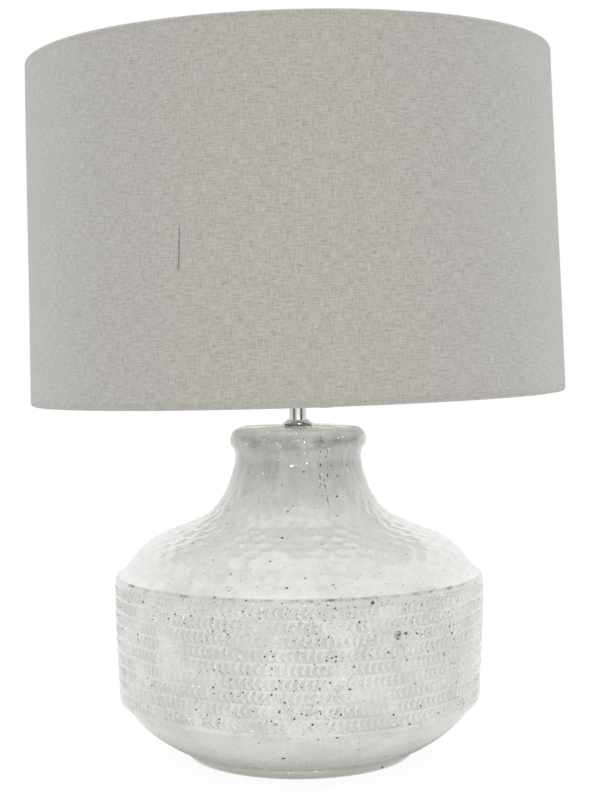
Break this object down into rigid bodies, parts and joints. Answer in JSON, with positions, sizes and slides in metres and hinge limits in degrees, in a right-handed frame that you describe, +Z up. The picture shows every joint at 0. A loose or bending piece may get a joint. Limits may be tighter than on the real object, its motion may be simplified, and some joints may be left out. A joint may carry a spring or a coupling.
{
  "type": "table lamp with shade",
  "caption": "Table lamp with a wide waisted glass base, a short chrome stem, a screw lampholder and a drum shade of grey linen held by a spider fitter.",
  "frame": {"origin": "centre of the lamp's underside, on the table, under the axis of the stem", "axes": "+Z up along the stem, -Y towards the front, +Y towards the side with the cable hole, +X to the right as seen from the front"},
  "size_m": [0.4006, 0.3998, 0.5267],
  "materials": {
    "white_washed_glass": "gloss, washed white on the inside",
    "dark_felt": "needled felt",
    "black_enamel": "satin black",
    "white_nylon": "satin moulded",
    "zinc_steel": "zinc plated",
    "black_rubber": "matt",
    "chrome": "polished",
    "white_plastic": "moulded, semi-gloss",
    "steatite": "unglazed",
    "brass": "bright pressed",
    "grey_linen": "slubbed plain weave",
    "white_liner": "matt film",
    "white_wire": "powder coated",
    "opal": "opal, satin",
    "bulb_plastic": "moulded",
    "nickel": "nickel plated",
    "black_glass": "vitrified",
    "solder": "soldered",
    "white_board": "white solder mask",
    "phosphor": "cast",
    "green_board": "lacquered"
  },
  "bodies": {
    "base": {"glass_base": "white_washed_glass", "felt_pad": "dark_felt", "bottom_plate": "black_enamel", "cable_grommet": "white_nylon", "threaded_nipple": "zinc_steel", "hex_nut": "zinc_steel", "lock_washer": "zinc_steel", "steel_washer": "zinc_steel", "rubber_washer": "black_rubber", "seat_washer": "white_nylon", "stem_flange": "chrome", "stem_tube": "chrome", "holder_cap": "white_plastic", "cap_lock_screw": "zinc_steel", "holder_core": "steatite", "terminal_blocks": "brass", "terminal_screws": "brass", "centre_contact": "brass", "side_contact": "brass", "screw_shell": "brass", "holder_skirt": "white_plastic"},
    "shade": {"shade_fabric": "grey_linen", "shade_liner": "white_liner", "top_hoop": "white_wire", "bottom_hoop": "white_wire", "spider_arms": "white_wire", "fitter_washer": "white_wire"},
    "shade_ring": {"shade_ring": "white_plastic"},
    "bulb": {"bulb_globe": "opal", "bulb_body": "bulb_plastic", "bulb_cap": "nickel", "bulb_insulator": "black_glass", "bulb_tip": "solder", "led_board": "white_board", "led_chips": "phosphor", "driver_board": "green_board"}
  },
  "joints": [
    {"name": "shade_turn", "type": "hinge", "parent": "base", "child": "shade", "pos_m": [0, 0, 0.29], "axis": [0, 0, 1], "continuous": true},
    {"name": "ring_lift", "type": "slide", "parent": "base", "child": "shade_ring", "axis": [0, 0, 1], "range_m": [0, 0.018]},
    {"name": "bulb_lift", "type": "slide", "parent": "base", "child": "bulb", "axis": [0, 0, 1], "range_m": [0, 0.24]}
  ]
}
